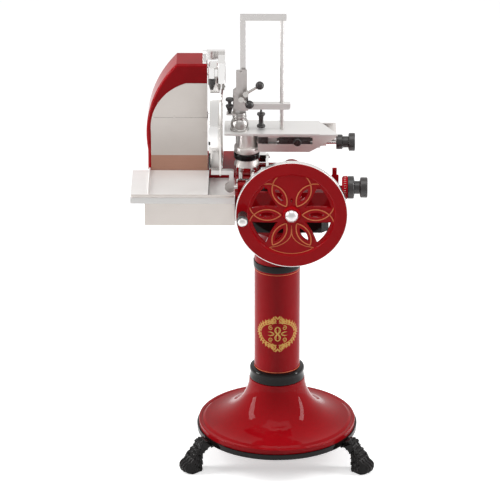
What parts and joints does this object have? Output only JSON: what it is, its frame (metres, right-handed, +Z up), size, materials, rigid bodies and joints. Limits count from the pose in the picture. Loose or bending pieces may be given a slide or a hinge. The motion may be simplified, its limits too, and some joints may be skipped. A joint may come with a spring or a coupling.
{
  "type": "hand crank meat slicer",
  "caption": "Pedestal slicer turned by a pierced flywheel: a geared round blade under a hood, a sliding table with a press, a sharpener, and a trumpet stand on paw feet.",
  "frame": {"origin": "on the floor, under the middle of the whole machine's bounding box", "axes": "+Z up; -Y towards the person who turns the flywheel; +X towards that person's right, so the blade and hood are on the -X side"},
  "size_m": [0.767, 0.6486, 1.458],
  "materials": {
    "black_enamel": "gloss black enamel on cast iron",
    "red_enamel": "deep gloss red enamel with thin gold lines",
    "brushed_steel": "fine brushed stainless sheet",
    "polished_steel": "polished and plated",
    "machined_steel": "oiled machined steel",
    "cast_iron": "primed casting",
    "bronze": "dull bronze",
    "black_phenolic": "polished black phenolic",
    "red_dial": "gloss red enamel dial",
    "grinding_stone": "bonded abrasive"
  },
  "bodies": {
    "stand": {"lion_paws": "black_enamel", "foot_ring": "black_enamel", "pedestal_base": "red_enamel", "column_collars": "black_enamel", "column": "red_enamel", "column_head": "red_enamel", "top_plate": "black_enamel", "plate_bolts": "machined_steel", "base_casting": "red_enamel", "shaft_bushes": "bronze", "bearing_housing": "cast_iron", "ball_bearings": "machined_steel", "drive_chain": "machined_steel", "blade_guard": "polished_steel", "hood": "red_enamel", "deflector": "brushed_steel", "deflector_foot": "bronze", "receiving_tray": "brushed_steel", "side_box": "brushed_steel", "gauge_brackets": "red_enamel", "carriage_rails": "polished_steel", "sharpener_foot": "polished_steel"},
    "flywheel": {"flywheel": "red_enamel", "wheel_band": "polished_steel", "flywheel_shaft": "polished_steel", "hub_cap": "polished_steel", "handle_spindle": "polished_steel", "shaft_gears": "machined_steel"},
    "grip": {"handle_grip": "black_phenolic"},
    "crank": {"crank_shaft": "machined_steel", "crank_gear": "machined_steel"},
    "drive": {"drive_shaft": "machined_steel"},
    "blade": {"blade": "polished_steel", "blade_arbor": "machined_steel", "blade_cover": "polished_steel"},
    "carriage": {"saddle": "polished_steel", "carriage_pillars": "polished_steel", "pillar_collar": "black_enamel", "carriage_frame": "brushed_steel"},
    "rod": {"connecting_rod": "polished_steel"},
    "slide_lock": {"slide_lock_knob": "polished_steel"},
    "feed": {"feed_screw": "polished_steel", "feed_knob": "black_phenolic"},
    "table": {"meat_table": "brushed_steel", "press_frame": "polished_steel", "press_foot": "brushed_steel"},
    "press": {"press_sleeve": "brushed_steel", "press_arm": "brushed_steel"},
    "holding_knob": {"hanging_knob": "black_phenolic"},
    "sleeve_knob": {"side_knob": "black_phenolic"},
    "clamp_lever": {"upper_lever": "black_phenolic"},
    "stop_lever": {"lower_lever": "black_phenolic"},
    "sharpener": {"sharpener_head": "polished_steel"},
    "stones": {"sharpening_stones": "grinding_stone"},
    "button": {"sharpener_button": "black_phenolic"},
    "gauge": {"gauge_plate": "brushed_steel", "gauge_arm": "brushed_steel"},
    "thickness": {"thickness_dial": "red_dial", "thickness_knob": "black_phenolic"}
  },
  "joints": [
    {"name": "flywheel_spin", "type": "hinge", "parent": "stand", "child": "flywheel", "pos_m": [0.1165, -0.2317, 0.911], "axis": [0, 1, 0], "continuous": true},
    {"name": "grip_spin", "type": "hinge", "parent": "flywheel", "child": "grip", "pos_m": [-0.0345, -0.2977, 0.911], "axis": [0, 1, 0], "continuous": true},
    {"name": "crank_spin", "type": "hinge", "parent": "stand", "child": "crank", "pos_m": [0.0205, -0.0377, 0.911], "axis": [1, 0, 0], "continuous": true},
    {"name": "drive_spin", "type": "hinge", "parent": "stand", "child": "drive", "pos_m": [-0.2515, 0.0963, 0.911], "axis": [1, 0, 0], "continuous": true},
    {"name": "blade_spin", "type": "hinge", "parent": "stand", "child": "blade", "pos_m": [-0.0975, 0.0823, 1.108], "axis": [1, 0, 0], "continuous": true},
    {"name": "carriage_slide", "type": "slide", "parent": "stand", "child": "carriage", "axis": [0, 1, 0], "range_m": [-0.065, 0.058]},
    {"name": "rod_swing", "type": "hinge", "parent": "carriage", "child": "rod", "pos_m": [0.0365, 0.131, 0.95], "axis": [1, 0, 0], "range_deg": [-3, 8]},
    {"name": "slide_lock_turn", "type": "hinge", "parent": "carriage", "child": "slide_lock", "pos_m": [0.1345, 0.0073, 1.05], "axis": [0, -1, 0], "range_deg": [-180, 180]},
    {"name": "feed_spin", "type": "hinge", "parent": "carriage", "child": "feed", "pos_m": [0.2559, 0.0343, 1.0387], "axis": [1, 0, 0], "range_deg": [0, 1500]},
    {"name": "table_feed", "type": "slide", "parent": "carriage", "child": "table", "axis": [1, 0, 0], "range_m": [0, 0.1]},
    {"name": "press_lift", "type": "slide", "parent": "table", "child": "press", "axis": [0, 0, 1], "range_m": [0, 0.155]},
    {"name": "holding_knob_turn", "type": "hinge", "parent": "press", "child": "holding_knob", "pos_m": [0.0205, 0.0473, 1.083], "axis": [0, 0, 1], "continuous": true},
    {"name": "sleeve_knob_turn", "type": "hinge", "parent": "press", "child": "sleeve_knob", "pos_m": [-0.0775, 0.0253, 1.14], "axis": [0, 0, 1], "continuous": true},
    {"name": "clamp_lever_turn", "type": "hinge", "parent": "press", "child": "clamp_lever", "pos_m": [-0.0275, 0.035, 1.204], "axis": [0, -1, 0], "range_deg": [-30, 60]},
    {"name": "stop_lever_turn", "type": "hinge", "parent": "press", "child": "stop_lever", "pos_m": [-0.0415, 0.035, 1.186], "axis": [0, -1, 0], "range_deg": [-60, 25]},
    {"name": "sharpener_swing", "type": "hinge", "parent": "stand", "child": "sharpener", "pos_m": [-0.1495, 0.0823, 1.314], "axis": [1, 0, 0], "range_deg": [-60, 0]},
    {"name": "stone_spin", "type": "hinge", "parent": "sharpener", "child": "stones", "pos_m": [-0.1025, -0.01172, 1.24103], "axis": [1, 0, 0], "continuous": true},
    {"name": "button_press", "type": "slide", "parent": "sharpener", "child": "button", "axis": [0, 0, 1], "range_m": [0, 0.004], "stiffness_N_per_m": 300},
    {"name": "gauge_shift", "type": "slide", "parent": "stand", "child": "gauge", "axis": [1, 0, 0], "range_m": [-0.006, 0]},
    {"name": "thickness_turn", "type": "hinge", "parent": "stand", "child": "thickness", "pos_m": [0.2731, -0.1157, 0.946], "axis": [1, 0, 0], "range_deg": [0, 300]}
  ],
  "couplings": [
    {"joint": "crank_spin", "follows": "flywheel_spin", "ratio": -1},
    {"joint": "drive_spin", "follows": "flywheel_spin", "ratio": -2},
    {"joint": "blade_spin", "follows": "flywheel_spin", "ratio": -4},
    {"joint": "table_feed", "follows": "feed_spin", "m_per_rad": 0.0038197},
    {"joint": "gauge_shift", "follows": "thickness_turn", "m_per_rad": -0.0011459}
  ]
}
